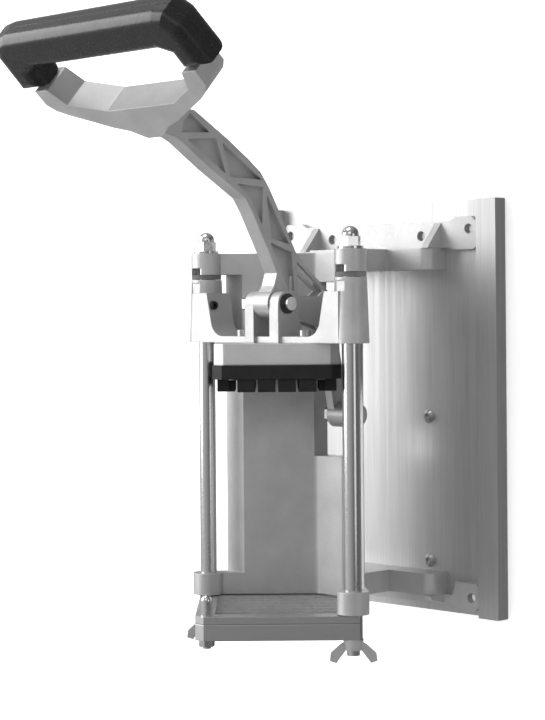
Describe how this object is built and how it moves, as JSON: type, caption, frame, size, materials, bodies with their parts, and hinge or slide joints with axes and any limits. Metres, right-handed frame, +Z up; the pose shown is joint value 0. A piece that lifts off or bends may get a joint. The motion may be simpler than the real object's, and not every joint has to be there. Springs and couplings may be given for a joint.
{
  "type": "wall-mounted lever vegetable dicer",
  "caption": "Wall-mounted lever dicer: a D-handled lever drives a fingered pusher down two guide rods onto a square blade grid.",
  "frame": {"origin": "centre of the four wall screws, on the wall plane", "axes": "+X right when facing the wall, +Y toward the wall, +Z up along the guide rods"},
  "size_m": [0.318, 0.3967, 0.5901],
  "materials": {
    "panel_steel": "brushed",
    "cast_aluminium": "satin cast",
    "block_aluminium": "satin machined",
    "polished_rod": "polished",
    "chrome_hardware": "polished",
    "zinc_hardware": "zinc plated",
    "dark_screw": "blackened",
    "bumper_rubber": "matte",
    "bush_bronze": "machined bronze",
    "frame_plate": "ground",
    "blade_steel": "ground and honed",
    "finger_plastic": "matte moulded",
    "grip_plastic": "glossy moulded"
  },
  "bodies": {
    "frame": {"wall_panel": "panel_steel", "panel_rivets": "zinc_hardware", "upper_bracket": "cast_aluminium", "lower_bracket": "cast_aluminium", "frame_casting": "cast_aluminium", "guide_rod_left": "polished_rod", "guide_rod_right": "polished_rod", "rod_washer_left": "chrome_hardware", "rod_washer_right": "chrome_hardware", "acorn_nut_left": "chrome_hardware", "acorn_nut_right": "chrome_hardware", "upper_bumpers": "bumper_rubber", "link_bolt": "chrome_hardware", "link_nut": "zinc_hardware", "blade_frame_upper": "frame_plate", "blade_frame_lower": "frame_plate", "blades_upper": "blade_steel", "blades_lower": "blade_steel", "corner_studs": "chrome_hardware", "corner_nuts": "zinc_hardware"},
    "carriage": {"carriage": "cast_aluminium", "guide_bushes": "bush_bronze", "bush_screws": "dark_screw", "pivot_bolt": "chrome_hardware", "pivot_washers": "dark_screw", "pivot_nut": "zinc_hardware", "pusher_block": "block_aluminium", "finger_plate": "finger_plastic", "pusher_screws": "zinc_hardware", "block_bolts": "zinc_hardware"},
    "lever": {"lever": "cast_aluminium", "grip_shell_front": "grip_plastic", "grip_shell_rear": "grip_plastic", "link_pin_ends": "zinc_hardware"},
    "link": {"link": "cast_aluminium"},
    "wing_nut_left": {"wing_nut_left": "cast_aluminium"},
    "wing_nut_right": {"wing_nut_right": "cast_aluminium"}
  },
  "joints": [
    {"name": "carriage_slide", "type": "slide", "parent": "frame", "child": "carriage", "axis": [0, 0, -1], "range_m": [0, 0.21]},
    {"name": "lever_pivot", "type": "hinge", "parent": "carriage", "child": "lever", "pos_m": [0, -0.158, 0.107], "axis": [1, 0, 0], "range_deg": [0, 100.5]},
    {"name": "link_pivot", "type": "hinge", "parent": "frame", "child": "link", "pos_m": [0, -0.064, -0.002], "axis": [1, 0, 0], "range_deg": [0, 93.5]},
    {"name": "wing_nut_left_spin", "type": "hinge", "parent": "frame", "child": "wing_nut_left", "pos_m": [-0.097, -0.15, -0.207], "axis": [0, 0, 1], "continuous": true},
    {"name": "wing_nut_right_spin", "type": "hinge", "parent": "frame", "child": "wing_nut_right", "pos_m": [0.097, -0.15, -0.207], "axis": [0, 0, 1], "continuous": true}
  ],
  "couplings": [
    {"joint": "lever_pivot", "follows": "carriage_slide", "rad_per_m": 8.3398},
    {"joint": "link_pivot", "follows": "carriage_slide", "rad_per_m": 7.7618}
  ]
}
